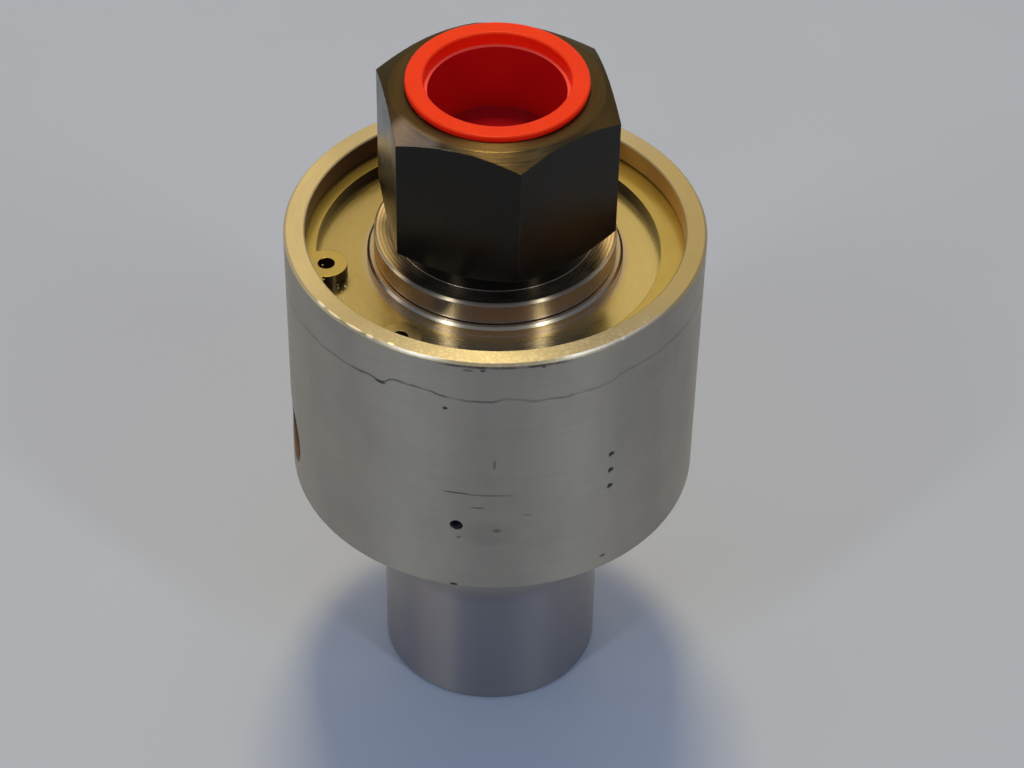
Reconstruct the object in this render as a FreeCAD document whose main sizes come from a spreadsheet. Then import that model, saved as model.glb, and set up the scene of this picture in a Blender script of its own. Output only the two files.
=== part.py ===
import FreeCAD, Part
import math
import os
import Sketcher

# A hydraulic rotary union: a round housing on a stub, and a rotor with a hexagon head that turns
# in a double-row ball bearing. Fluid enters the threaded port in the stub's end and leaves through
# the rotor's threaded port, which a plastic plug closes for storage.
# Millimetres, +Z up, origin at the centre of the stub's end face, rotor axis on Z.

# Each entry is a driving dimension: its name, its value, and what it measures.
SIZES = (
    ("rim_wall", 4.0, "housing's wall around the cover's bore"),
    ("body_height", 57.5, "from the body's lower edge to the rim"),
    ("stub_diameter", 44.0, "outside of the stub"),
    ("stub_length", 51.5, "from the stub's end to the body's lower edge"),
    ("underside_angle", 45.0, "slope of the body's underside from the axis, degrees"),
    ("root_radius", 13.0, "fillet between the underside and the stub"),
    ("edge_break", 0.5, "chamfer on turned outer edges"),
    ("recess_depth", 7.0, "from the rim down to the cover's face"),
    ("cover_bore", 72.0, "bore that holds the cover and the bearing"),
    ("ring_groove_depth", 1.5, "groove of the cover's retaining ring, on the radius"),
    ("ring_groove_width", 2.65, "height of that groove"),
    ("ring_thickness", 2.5, "thickness of the retaining ring"),
    ("ring_wide_side", 6.4, "radial width of the ring opposite its gap"),
    ("ring_narrow_side", 3.4, "radial width of the ring beside its lugs"),
    ("ring_turn", 215.0, "direction of the ring's gap, degrees from +X"),
    ("lug_spread", 23.0, "angle from the gap's middle to each lug's eye, degrees"),
    ("lug_circle", 64.8, "diameter of the circle through the lugs' eyes"),
    ("lug_diameter", 8.0, "rounded end of each lug"),
    ("lug_eye", 3.2, "plier hole in each lug"),
    ("cover_thickness", 4.5, "cover's disc"),
    ("hub_diameter", 48.6, "short hub on the cover"),
    ("hub_height", 1.9, "height of that hub above the disc"),
    ("cover_ring_section", 2.0, "section of the cover's O-ring"),
    ("lip_seal_width", 4.0, "from the rotor to the lip seal's outside"),
    ("lip_seal_height", 4.0, "height of the lip seal"),
    ("shim_thickness", 0.5, "preload shim"),
    ("shim_opening", 65.0, "inside of the preload shim"),
    ("bearing_width", 27.0, "double-row bearing"),
    ("ball_circle", 53.5, "pitch circle of both ball rows"),
    ("ball_diameter", 9.525, "ball"),
    ("ball_count", 12, "balls in each row"),
    ("row_offset", 6.3, "from the bearing's middle to each ball row"),
    ("race_rib", 59.8, "inside of the outer ring between its raceways"),
    ("race_relief", 62.0, "inside of the outer ring at its ends"),
    ("inner_shoulder", 49.4, "outside of the inner ring at its ends"),
    ("inner_waist", 45.2, "outside of the inner ring between its raceways"),
    ("cage_wall", 3.0, "radial thickness of a ball cage"),
    ("cage_mouth", 2.6, "reach of a cage past its balls' centres"),
    ("cage_back", 5.9, "reach of a cage behind its balls' centres"),
    ("chamber_diameter", 58.0, "leakage chamber under the bearing"),
    ("chamber_depth", 14.5, "from the bearing's seat to the chamber's floor"),
    ("tail_diameter", 28.0, "rotor's sealed tail"),
    ("first_land", 6.0, "from the chamber's floor to the guide ring's groove"),
    ("groove_land", 4.2, "between two grooves around the tail"),
    ("guide_groove_diameter", 33.0, "groove of the guide ring"),
    ("guide_groove_width", 5.6, "height of that groove"),
    ("guide_split", 2.0, "gap in the split guide ring"),
    ("seal_groove_diameter", 35.5, "grooves of the two main seals"),
    ("seal_groove_width", 3.2, "height of those grooves"),
    ("seal_ring_wall", 1.6, "radial thickness of a seal ring"),
    ("port_diameter", 33.249, "thread of the two end ports, at its root"),
    ("port_depth", 20.0, "depth of the end ports' thread"),
    ("port_mouth", 0.2, "countersink of the end ports, on the radius"),
    ("tail_setback", 5.0, "from the lower port's floor to the rotor's end"),
    ("flow_bore", 22.0, "passage through the rotor"),
    ("side_port_diameter", 13.157, "thread of the side port, at its root"),
    ("side_port_mouth", 0.7, "countersink of the side port, on the radius"),
    ("side_port_drop", 46.5, "from the rim down to the side port's axis"),
    ("side_port_turn", 190.0, "direction of the side port, degrees from +X"),
    ("weep_diameter", 2.5, "weep hole"),
    ("weep_drop", 40.8, "from the rim down to the weep hole"),
    ("weep_turn", 260.5, "direction of the weep hole, degrees from +X"),
    ("punch_diameter", 1.3, "punch mark"),
    ("punch_depth", 0.35, "punch mark"),
    ("punch_drop", 27.7, "from the rim down to the first punch mark"),
    ("punch_pitch", 4.1, "between punch marks"),
    ("punch_turn", 303.8, "direction of the punch marks, degrees from +X"),
    ("flange_diameter", 46.0, "rotor's flange above the cover's hub"),
    ("flange_thickness", 4.4, "that flange"),
    ("flange_gap", 0.2, "running gap between hub and flange"),
    ("neck_diameter", 38.0, "neck between flange and hexagon"),
    ("neck_height", 3.5, "that neck"),
    ("hex_across_flats", 41.0, "hexagon head"),
    ("hex_height", 29.0, "hexagon head"),
    ("hex_turn", 40.6, "direction of one hexagon corner, degrees from +X"),
    ("hex_crown", 39.4, "flat circle on the hexagon's end faces"),
    ("hex_chamfer_angle", 30.0, "slope of the hexagon's end chamfers, degrees"),
    ("cover_journal", 40.0, "rotor where it runs through the cover"),
    ("bearing_journal", 35.0, "rotor where the inner ring sits"),
    ("thread_relief", 0.3, "bearing journal's diameter over the locknut's thread"),
    ("keyway_width", 5.0, "slot for the lock washer's inner tab"),
    ("keyway_depth", 2.0, "that slot"),
    ("washer_thickness", 1.25, "lock washer"),
    ("washer_diameter", 47.0, "lock washer without its teeth"),
    ("tooth_circle", 52.0, "lock washer over its teeth"),
    ("tooth_width", 4.4, "tooth of the lock washer"),
    ("tooth_count", 13, "teeth of the lock washer"),
    ("nut_diameter", 52.0, "locknut"),
    ("nut_thickness", 8.0, "locknut"),
    ("nut_slot_width", 5.0, "spanner slot in the locknut"),
    ("nut_slot_depth", 2.0, "that slot"),
    ("nut_slot_count", 4, "spanner slots"),
    ("thread_runout", 1.0, "thread below the locknut"),
    ("plug_flange_diameter", 33.7, "plug's flange"),
    ("plug_flange_height", 1.1, "plug's flange"),
    ("plug_rounding", 0.45, "rounded edges of the plug's flange"),
    ("plug_shank_diameter", 29.6, "plug's shank under its flange"),
    ("plug_shank_length", 16.6, "plug's shank"),
    ("plug_taper", 0.5, "how much narrower the shank's end is, on the radius"),
    ("plug_wall", 2.05, "plug's wall below its step"),
    ("plug_step", 0.7, "ledge just inside the plug's mouth"),
    ("plug_step_depth", 2.6, "from the plug's top to that ledge"),
    ("plug_floor", 1.5, "plug's floor"),
    ("plug_lean", 2.5, "how far the plug leans to the front in its port, degrees"),
    ("seat_clearance", 0.02, "between a bore and a piece that is fixed in it"),
    ("running_clearance", 0.05, "between a seal or guide and the rotor"),
    ("tail_clearance", 0.15, "between the rotor's tail and the housing"),
    ("journal_clearance", 0.2, "between the rotor and the cover's bore"),
    ("ball_clearance", 0.03, "between a ball and its raceways"),
    ("pocket_clearance", 0.1, "between a ball and its cage"),
)

# Heights and radii that follow from the driving dimensions, as expressions of the sheet.
BODY_RADIUS = "(Sizes.cover_bore / 2 + Sizes.rim_wall)"
STUB_RADIUS = "(Sizes.stub_diameter / 2)"
BORE_RADIUS = "(Sizes.cover_bore / 2)"
RING_GROOVE_RADIUS = "(Sizes.cover_bore / 2 + Sizes.ring_groove_depth)"
LIP_SEAL_RADIUS = "(Sizes.cover_journal / 2 + Sizes.lip_seal_width)"
CHAMBER_RADIUS = "(Sizes.chamber_diameter / 2)"
TAIL_RADIUS = "(Sizes.tail_diameter / 2)"
TAIL_BORE_RADIUS = "(Sizes.tail_diameter / 2 + Sizes.tail_clearance)"
PORT_RADIUS = "(Sizes.port_diameter / 2)"
JOURNAL_RADIUS = "(Sizes.bearing_journal / 2)"
THREAD_RADIUS = "(Sizes.bearing_journal / 2 - Sizes.thread_relief / 2)"
RIM = "(Sizes.stub_length + Sizes.body_height)"
COVER_FACE = "(Sizes.stub_length + Sizes.body_height - Sizes.recess_depth)"
COVER_BOTTOM = "(%s - Sizes.cover_thickness)" % COVER_FACE
BEARING_TOP = "(%s - Sizes.shim_thickness)" % COVER_BOTTOM
BEARING_MIDDLE = "(%s - Sizes.bearing_width / 2)" % BEARING_TOP
BEARING_SEAT = "(%s - Sizes.bearing_width)" % BEARING_TOP
CHAMBER_FLOOR = "(%s - Sizes.chamber_depth)" % BEARING_SEAT
GUIDE_TOP = "(%s - Sizes.first_land)" % CHAMBER_FLOOR
GUIDE_BOTTOM = "(%s - Sizes.guide_groove_width)" % GUIDE_TOP
UPPER_SEAL_TOP = "(%s - Sizes.groove_land)" % GUIDE_BOTTOM
UPPER_SEAL_BOTTOM = "(%s - Sizes.seal_groove_width)" % UPPER_SEAL_TOP
LOWER_SEAL_TOP = "(%s - Sizes.groove_land)" % UPPER_SEAL_BOTTOM
LOWER_SEAL_BOTTOM = "(%s - Sizes.seal_groove_width)" % LOWER_SEAL_TOP
HUB_TOP = "(%s + Sizes.hub_height)" % COVER_FACE
FLANGE_BOTTOM = "(%s + Sizes.flange_gap)" % HUB_TOP
FLANGE_TOP = "(%s + Sizes.flange_thickness)" % FLANGE_BOTTOM
HEX_BOTTOM = "(%s + Sizes.neck_height)" % FLANGE_TOP
HEX_TOP = "(%s + Sizes.hex_height)" % HEX_BOTTOM
WASHER_BOTTOM = "(%s - Sizes.washer_thickness)" % BEARING_SEAT
NUT_BOTTOM = "(%s - Sizes.nut_thickness)" % WASHER_BOTTOM
THREAD_END = "(%s - Sizes.thread_runout)" % NUT_BOTTOM
TAIL_END = "(Sizes.port_depth + Sizes.tail_setback)"

doc = FreeCAD.newDocument("RotaryUnion")


def make_sheet():
    """The spreadsheet of driving dimensions, one row each: note, value."""
    sheet = doc.addObject("Spreadsheet::Sheet", "Sizes")
    for row, (name, value, note) in enumerate(SIZES, start=1):
        sheet.set("A%d" % row, note)
        sheet.set("B%d" % row, str(value))
        sheet.setAlias("B%d" % row, name)
    doc.recompute()
    return sheet


sizes = make_sheet()


def new_body(label):
    """An empty body whose label names the sub-part."""
    body = doc.addObject("PartDesign::Body", label)
    body.Label = label
    return body


def new_sketch(body, role, lift=None, axis=None, turn=None):
    """A sketch on one of the body's origin planes, lifted along the plane's normal and turned
    about an axis of the plane."""
    plane = [item for item in body.Origin.OriginFeatures if item.Role == role][0]
    sketch = body.newObject("Sketcher::SketchObject", body.Label + "_sketch")
    sketch.AttachmentSupport = [(plane, "")]
    sketch.MapMode = "FlatFace"
    if axis is not None:
        sketch.AttachmentOffset = FreeCAD.Placement(FreeCAD.Vector(), FreeCAD.Rotation(axis, 1))
        sketch.setExpression("AttachmentOffset.Rotation.Angle", turn)
    if lift is not None:
        sketch.setExpression("AttachmentOffset.Base.z", lift)
    return sketch


def place_point(sketch, geometry, point, across, up):
    """Hold a point of the sketch at two expressions; "0" keeps it on the sketch's axis."""
    for kind, value, axis in (("DistanceX", across, -2), ("DistanceY", up, -1)):
        if value == "0":
            sketch.addConstraint(Sketcher.Constraint("PointOnObject", geometry, point, axis))
        else:
            number = sketch.addConstraint(Sketcher.Constraint(kind, geometry, point, 10.0))
            sketch.setExpression("Constraints[%d]" % number, value)


def add_outline(sketch, corners):
    """A closed outline of straight lines through corners given as (across, up) expressions."""
    count = len(corners)
    first = sketch.GeometryCount
    step = 2 * math.pi / count
    start = [FreeCAD.Vector(20 + 9 * math.cos(k * step), 20 + 9 * math.sin(k * step), 0)
             for k in range(count)]
    for k in range(count):
        sketch.addGeometry(Part.LineSegment(start[k], start[(k + 1) % count]))
    for k in range(count):
        following = first + (k + 1) % count
        sketch.addConstraint(Sketcher.Constraint("Coincident", first + k, 2, following, 1))
    for k, (across, up) in enumerate(corners):
        place_point(sketch, first + k, 1, across, up)


def add_circle(sketch, radius, across="0", up="0"):
    """A circle of the sketch, by its radius and its centre."""
    circle = sketch.addGeometry(Part.Circle(FreeCAD.Vector(0, 0, 0), FreeCAD.Vector(0, 0, 1), 5))
    number = sketch.addConstraint(Sketcher.Constraint("Radius", circle, 5.0))
    sketch.setExpression("Constraints[%d]" % number, radius)
    place_point(sketch, circle, 3, across, up)


def add_hexagon(sketch, across_flats):
    """A regular hexagon about the sketch's origin with one corner on its first axis."""
    corners = [FreeCAD.Vector(20 * math.cos(k * math.pi / 3), 20 * math.sin(k * math.pi / 3), 0)
               for k in range(6)]
    first = sketch.GeometryCount
    for k in range(6):
        sketch.addGeometry(Part.LineSegment(corners[k], corners[(k + 1) % 6]))
    guide = sketch.addGeometry(Part.Circle(FreeCAD.Vector(0, 0, 0), FreeCAD.Vector(0, 0, 1), 20), True)
    for k in range(6):
        following = first + (k + 1) % 6
        sketch.addConstraint(Sketcher.Constraint("Coincident", first + k, 2, following, 1))
        sketch.addConstraint(Sketcher.Constraint("PointOnObject", first + k, 1, guide))
    for k in range(5):
        sketch.addConstraint(Sketcher.Constraint("Equal", first + k, first + k + 1))
    sketch.addConstraint(Sketcher.Constraint("Coincident", guide, 3, -1, 1))
    sketch.addConstraint(Sketcher.Constraint("PointOnObject", first, 1, -1))
    number = sketch.addConstraint(Sketcher.Constraint("Radius", guide, 20.0))
    sketch.setExpression("Constraints[%d]" % number, "%s / 2 / cos(30)" % across_flats)


def turn_outline(body, corners, kind="Revolution"):
    """Turn a closed (radius, height) outline about the Z axis: adds with Revolution, cuts with
    Groove."""
    sketch = new_sketch(body, "XZ_Plane")
    add_outline(sketch, corners)
    return turn_sketch(body, sketch, kind)


def turn_sketch(body, sketch, kind):
    """Turn a finished sketch about the Z axis."""
    feature = body.newObject("PartDesign::" + kind, body.Label + "_" + kind.lower())
    feature.Profile = sketch
    feature.ReferenceAxis = (sketch, ["V_Axis"])
    feature.Angle = 360
    doc.recompute()
    return feature


def pad(body, sketch, length):
    """Raise a sketch along its plane's normal."""
    feature = body.newObject("PartDesign::Pad", body.Label + "_pad")
    feature.Profile = sketch
    feature.setExpression("Length", length)
    doc.recompute()
    return feature


def pocket(body, sketch, length):
    """Cut a sketch into the body, against its plane's normal."""
    before = body.Shape.Volume
    feature = body.newObject("PartDesign::Pocket", body.Label + "_pocket")
    feature.Profile = sketch
    feature.setExpression("Length", length)
    doc.recompute()
    if body.Shape.Volume > before - 1e-6:
        raise RuntimeError("a pocket of %s cuts nothing" % body.Label)
    return feature


def polar_copies(body, feature, count):
    """Repeat a feature evenly about the Z axis."""
    axis = [item for item in body.Origin.OriginFeatures if item.Role == "Z_Axis"][0]
    pattern = body.newObject("PartDesign::PolarPattern", body.Label + "_pattern")
    pattern.Originals = [feature]
    pattern.Axis = (axis, [""])
    pattern.Angle = 360
    pattern.Occurrences = count
    body.Tip = pattern
    doc.recompute()


def drill(body, turn, height, corners):
    """Cut a round hole into the housing's side, towards the axis. The corners are the hole's half
    section: distance from the housing's axis, distance from the hole's own axis."""
    sketch = new_sketch(body, "XZ_Plane", axis=FreeCAD.Vector(0, 1, 0), turn=turn)
    add_outline(sketch, [(across, "%s + %s" % (height, off)) for across, off in corners])
    centre = Part.LineSegment(FreeCAD.Vector(10, 20, 0), FreeCAD.Vector(30, 20, 0))
    line = sketch.addGeometry(centre, True)
    place_point(sketch, line, 1, corners[0][0], height)
    place_point(sketch, line, 2, BODY_RADIUS, height)
    before = body.Shape.Volume
    hole = body.newObject("PartDesign::Groove", body.Label + "_hole")
    hole.Profile = sketch
    hole.ReferenceAxis = (sketch, ["Axis0"])
    hole.Angle = 360
    doc.recompute()
    if body.Shape.Volume > before - 1e-6:
        raise RuntimeError("a hole of %s cuts nothing" % body.Label)


def tube(name, outer, inner, bottom, height):
    """A plain ring as a cut of two cylinders, by expressions."""
    solids = []
    for part, radius in (("outside", outer), ("inside", inner)):
        cylinder = doc.addObject("Part::Cylinder", name + "_" + part)
        cylinder.setExpression("Radius", radius)
        cylinder.setExpression("Height", height)
        cylinder.setExpression("Placement.Base.z", bottom)
        solids.append(cylinder)
    cut = doc.addObject("Part::Cut", name)
    cut.Base = solids[0]
    cut.Tool = solids[1]
    return cut


def make_housing():
    """Housing: stub, conical underside, body with the recess and the stepped bore."""
    body = new_body("housing")
    foot = "(%s - (%s - Sizes.edge_break - %s) / tan(Sizes.underside_angle))" % (
        "Sizes.stub_length", BODY_RADIUS, STUB_RADIUS)
    outside = [
        (STUB_RADIUS + " - Sizes.edge_break", "0"),
        (STUB_RADIUS, "Sizes.edge_break"),
        (STUB_RADIUS, foot),
        (BODY_RADIUS + " - Sizes.edge_break", "Sizes.stub_length"),
        (BODY_RADIUS, "Sizes.stub_length + Sizes.edge_break"),
        (BODY_RADIUS, RIM + " - Sizes.edge_break"),
        (BODY_RADIUS + " - Sizes.edge_break", RIM),
    ]
    recess = [
        (BORE_RADIUS + " + Sizes.edge_break / 2", RIM),
        (BORE_RADIUS, RIM + " - Sizes.edge_break / 2"),
        (BORE_RADIUS, COVER_FACE + " + Sizes.ring_groove_width"),
        (RING_GROOVE_RADIUS, COVER_FACE + " + Sizes.ring_groove_width"),
        (RING_GROOVE_RADIUS, COVER_FACE),
        (BORE_RADIUS, COVER_FACE),
        (BORE_RADIUS, BEARING_SEAT),
        (CHAMBER_RADIUS, BEARING_SEAT),
        (CHAMBER_RADIUS, CHAMBER_FLOOR),
        (TAIL_BORE_RADIUS + " + Sizes.edge_break", CHAMBER_FLOOR),
        (TAIL_BORE_RADIUS, CHAMBER_FLOOR + " - Sizes.edge_break"),
    ]
    seal_grooves = []
    for top, bottom, diameter in (
            (GUIDE_TOP, GUIDE_BOTTOM, "Sizes.guide_groove_diameter"),
            (UPPER_SEAL_TOP, UPPER_SEAL_BOTTOM, "Sizes.seal_groove_diameter"),
            (LOWER_SEAL_TOP, LOWER_SEAL_BOTTOM, "Sizes.seal_groove_diameter")):
        seal_grooves += [(TAIL_BORE_RADIUS, top), (diameter + " / 2", top),
                         (diameter + " / 2", bottom), (TAIL_BORE_RADIUS, bottom)]
    port = [
        (TAIL_BORE_RADIUS, "Sizes.port_depth"),
        (PORT_RADIUS, "Sizes.port_depth"),
        (PORT_RADIUS, "Sizes.port_mouth"),
        (PORT_RADIUS + " + Sizes.port_mouth", "0"),
    ]
    base = turn_outline(body, outside + recess + seal_grooves + port)
    fillet_root(body, base)
    inside = CHAMBER_RADIUS + " - 1"
    outside = BODY_RADIUS + " + 1"
    port_radius = "Sizes.side_port_diameter / 2"
    drill(body, "Sizes.side_port_turn", "(%s - Sizes.side_port_drop)" % RIM, [
        (inside, "0"),
        (outside, "0"),
        (outside, port_radius + " + Sizes.side_port_mouth + 1"),
        (BODY_RADIUS + " - Sizes.side_port_mouth", port_radius),
        (inside, port_radius),
    ])
    drill(body, "Sizes.weep_turn", "(%s - Sizes.weep_drop)" % RIM, [
        (inside, "0"),
        (outside, "0"),
        (outside, "Sizes.weep_diameter / 2"),
        (inside, "Sizes.weep_diameter / 2"),
    ])
    for number in range(3):
        height = "(%s - Sizes.punch_drop - %d * Sizes.punch_pitch)" % (RIM, number)
        drill(body, "Sizes.punch_turn", height, [
            (BODY_RADIUS + " - Sizes.punch_depth", "0"),
            (outside, "0"),
            (outside, "Sizes.punch_diameter / 2 * (1 + 1 / Sizes.punch_depth)"),
        ])
    return body


def fillet_root(body, base):
    """Round the corner where the conical underside meets the stub."""
    slope = math.tan(math.radians(sizes.underside_angle))
    reach = (sizes.cover_bore - sizes.stub_diameter) / 2 + sizes.rim_wall - sizes.edge_break
    height = sizes.stub_length - reach / slope
    names = []
    for number, edge in enumerate(base.Shape.Edges, start=1):
        box = edge.BoundBox
        wide = abs(box.XLength - sizes.stub_diameter) < 1e-3
        if wide and abs(box.ZMin - height) < 1e-3 and abs(box.ZMax - height) < 1e-3:
            names.append("Edge%d" % number)
    fillet = body.newObject("PartDesign::Fillet", "housing_root")
    fillet.Base = (base, names)
    fillet.setExpression("Radius", "Sizes.root_radius")
    doc.recompute()


def make_rotor():
    """Rotor: hexagon head, neck, flange, journals, locknut thread, tail, and the passage."""
    body = new_body("rotor_shaft")
    corner = "(Sizes.hex_across_flats / 2 / cos(30))"
    crown = "(Sizes.hex_crown / 2)"
    drop = "((%s - %s) * tan(Sizes.hex_chamfer_angle))" % (corner, crown)
    outside = [
        (TAIL_RADIUS + " - Sizes.edge_break", TAIL_END),
        (TAIL_RADIUS, TAIL_END + " + 2 * Sizes.edge_break"),
        (TAIL_RADIUS, THREAD_END),
        (THREAD_RADIUS + " - Sizes.edge_break", THREAD_END),
        (THREAD_RADIUS, THREAD_END + " + Sizes.edge_break"),
        (THREAD_RADIUS, BEARING_SEAT),
        (JOURNAL_RADIUS, BEARING_SEAT),
        (JOURNAL_RADIUS, BEARING_TOP),
        ("Sizes.cover_journal / 2", BEARING_TOP),
        ("Sizes.cover_journal / 2", FLANGE_BOTTOM),
        ("Sizes.flange_diameter / 2", FLANGE_BOTTOM),
        ("Sizes.flange_diameter / 2", FLANGE_TOP + " - Sizes.edge_break"),
        ("Sizes.flange_diameter / 2 - Sizes.edge_break", FLANGE_TOP),
        ("Sizes.neck_diameter / 2", FLANGE_TOP),
        ("Sizes.neck_diameter / 2", HEX_BOTTOM),
        (crown, HEX_BOTTOM),
        (corner, HEX_BOTTOM + " + " + drop),
        (corner, HEX_TOP + " - " + drop),
        (crown, HEX_TOP),
    ]
    inside = [
        (PORT_RADIUS + " + Sizes.port_mouth", HEX_TOP),
        (PORT_RADIUS, HEX_TOP + " - Sizes.port_mouth"),
        (PORT_RADIUS, HEX_TOP + " - Sizes.port_depth"),
        ("Sizes.flow_bore / 2", HEX_TOP + " - Sizes.port_depth"),
        ("Sizes.flow_bore / 2", TAIL_END),
    ]
    turn_outline(body, outside + inside)
    flats = new_sketch(body, "XY_Plane", lift=HEX_TOP, axis=FreeCAD.Vector(0, 0, 1),
                       turn="Sizes.hex_turn")
    add_hexagon(flats, "Sizes.hex_across_flats")
    add_circle(flats, corner + " + 1")
    pocket(body, flats, "Sizes.hex_height")
    slot = new_sketch(body, "XY_Plane", lift=BEARING_SEAT)
    slot_floor = "(%s - Sizes.keyway_depth)" % THREAD_RADIUS
    add_box_outline(slot, slot_floor, "(%s + 1)" % THREAD_RADIUS, "Sizes.keyway_width")
    pocket(body, slot, "%s - %s" % (BEARING_SEAT, THREAD_END))
    return body


def add_box_outline(sketch, near, far, width):
    """A rectangle across the sketch's first axis, from near to far, centred on the axis."""
    corners = [(12, -3), (20, -3), (20, 3), (12, 3)]
    first = sketch.GeometryCount
    for k in range(4):
        here = FreeCAD.Vector(corners[k][0], corners[k][1], 0)
        there = FreeCAD.Vector(corners[(k + 1) % 4][0], corners[(k + 1) % 4][1], 0)
        sketch.addGeometry(Part.LineSegment(here, there))
    for k in range(4):
        following = first + (k + 1) % 4
        sketch.addConstraint(Sketcher.Constraint("Coincident", first + k, 2, following, 1))
    for k, kind in ((0, "Horizontal"), (2, "Horizontal"), (3, "Vertical")):
        sketch.addConstraint(Sketcher.Constraint(kind, first + k))
    sketch.addConstraint(Sketcher.Constraint("Symmetric", first + 1, 1, first + 1, 2, -1))
    for geometry, point, value in ((first + 3, 1, near), (first + 1, 1, far)):
        number = sketch.addConstraint(Sketcher.Constraint("DistanceX", geometry, point, 10.0))
        sketch.setExpression("Constraints[%d]" % number, value)
    number = sketch.addConstraint(Sketcher.Constraint("DistanceY", first + 1, 1, first + 1, 2, 6.0))
    sketch.setExpression("Constraints[%d]" % number, width)


def make_cover():
    """Bearing cover: a disc with a short hub, an O-ring groove and the lip seal's seat."""
    body = new_body("bearing_cover")
    bore = "(Sizes.cover_journal / 2 + Sizes.journal_clearance)"
    outer = "(%s - Sizes.seat_clearance)" % BORE_RADIUS
    groove_depth = "(Sizes.cover_ring_section * 0.8)"
    middle = "(%s - Sizes.cover_thickness / 2)" % COVER_FACE
    half_groove = "(Sizes.cover_ring_section * 0.6)"
    turn_outline(body, [
        (bore, COVER_BOTTOM + " + Sizes.lip_seal_height"),
        (LIP_SEAL_RADIUS, COVER_BOTTOM + " + Sizes.lip_seal_height"),
        (LIP_SEAL_RADIUS, COVER_BOTTOM),
        (outer, COVER_BOTTOM),
        (outer, middle + " - " + half_groove),
        (outer + " - " + groove_depth, middle + " - " + half_groove),
        (outer + " - " + groove_depth, middle + " + " + half_groove),
        (outer, middle + " + " + half_groove),
        (outer, COVER_FACE),
        ("Sizes.hub_diameter / 2", COVER_FACE),
        ("Sizes.hub_diameter / 2", HUB_TOP + " - Sizes.edge_break"),
        ("Sizes.hub_diameter / 2 - Sizes.edge_break", HUB_TOP),
        (bore, HUB_TOP),
    ])
    return body


def make_cover_ring():
    """O-ring between the cover and the housing, squeezed to its groove."""
    ring = doc.addObject("Part::Torus", "cover_o_ring")
    ring.setExpression("Radius2", "Sizes.cover_ring_section * 0.4 - Sizes.seat_clearance")
    ring.setExpression("Radius1", "%s - Sizes.cover_ring_section * 0.4" % BORE_RADIUS)
    ring.setExpression("Placement.Base.z", "%s - Sizes.cover_thickness / 2" % COVER_FACE)
    ring.Label = "cover_o_ring"
    return ring


def make_retaining_ring():
    """Internal retaining ring: narrower towards its gap, with two eyed lugs."""
    body = new_body("cover_retaining_ring")
    inner = "(%s - (Sizes.ring_wide_side + Sizes.ring_narrow_side) / 2)" % RING_GROOVE_RADIUS
    shift = "((Sizes.ring_wide_side - Sizes.ring_narrow_side) / 2)"
    outer = "(%s - Sizes.seat_clearance)" % RING_GROOVE_RADIUS
    lug_radius = "(Sizes.lug_circle / 2)"
    z_axis = FreeCAD.Vector(0, 0, 1)
    band = new_sketch(body, "XY_Plane", lift=COVER_FACE, axis=z_axis, turn="Sizes.ring_turn")
    add_circle(band, outer)
    add_circle(band, inner, across=shift)
    pad(body, band, "Sizes.ring_thickness")
    for side in ("+", "-"):
        turn = "Sizes.ring_turn %s Sizes.lug_spread" % side
        lug = new_sketch(body, "XY_Plane", lift=COVER_FACE, axis=z_axis, turn=turn)
        add_circle(lug, "Sizes.lug_diameter / 2", across=lug_radius)
        pad(body, lug, "Sizes.ring_thickness")
    top = COVER_FACE + " + Sizes.ring_thickness"
    for side in ("+", "-"):
        turn = "Sizes.ring_turn %s Sizes.lug_spread" % side
        eye = new_sketch(body, "XY_Plane", lift=top, axis=z_axis, turn=turn)
        add_circle(eye, "Sizes.lug_eye / 2", across=lug_radius)
        pocket(body, eye, "Sizes.ring_thickness")
    gap = new_sketch(body, "XY_Plane", lift=top, axis=z_axis, turn="Sizes.ring_turn")
    half = "(%s * sin(Sizes.lug_spread) - Sizes.lug_diameter / 2)" % lug_radius
    add_box_outline(gap, inner + " - Sizes.lug_diameter", outer + " + 1", "2 * " + half)
    pocket(body, gap, "Sizes.ring_thickness")
    return body


def make_lip_seal():
    """Lip seal pressed into the cover from below; its lip points at the weather side."""
    body = new_body("shaft_lip_seal")
    outer = "(%s - Sizes.seat_clearance)" % LIP_SEAL_RADIUS
    lip = "(Sizes.cover_journal / 2 + Sizes.running_clearance)"
    wall = "(Sizes.cover_journal / 2 + Sizes.lip_seal_height * 0.6)"
    web_top = COVER_BOTTOM + " + Sizes.lip_seal_height * 0.3"
    turn_outline(body, [
        (lip + " + 0.9", COVER_BOTTOM),
        (outer, COVER_BOTTOM),
        (outer, COVER_BOTTOM + " + Sizes.lip_seal_height"),
        (wall, COVER_BOTTOM + " + Sizes.lip_seal_height"),
        (wall, web_top),
        (lip + " + 1.4", web_top),
        (lip + " + 0.8", COVER_BOTTOM + " + Sizes.lip_seal_height * 0.85"),
        (lip, COVER_BOTTOM + " + Sizes.lip_seal_height * 0.7"),
    ])
    return body


def make_shim():
    """Preload shim between the cover and the bearing's outer ring."""
    shim = tube("preload_shim", "%s - Sizes.seat_clearance" % BORE_RADIUS,
                "Sizes.shim_opening / 2", BEARING_TOP, "Sizes.shim_thickness")
    shim.Label = "preload_shim"
    return shim


def cut_raceways(body):
    """Two raceways around the rows' pitch circle."""
    for side in ("+", "-"):
        sketch = new_sketch(body, "XZ_Plane")
        add_circle(sketch, "Sizes.ball_diameter / 2 + Sizes.ball_clearance",
                   across="Sizes.ball_circle / 2",
                   up="%s %s Sizes.row_offset" % (BEARING_MIDDLE, side))
        turn_sketch(body, sketch, "Groove")


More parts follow.
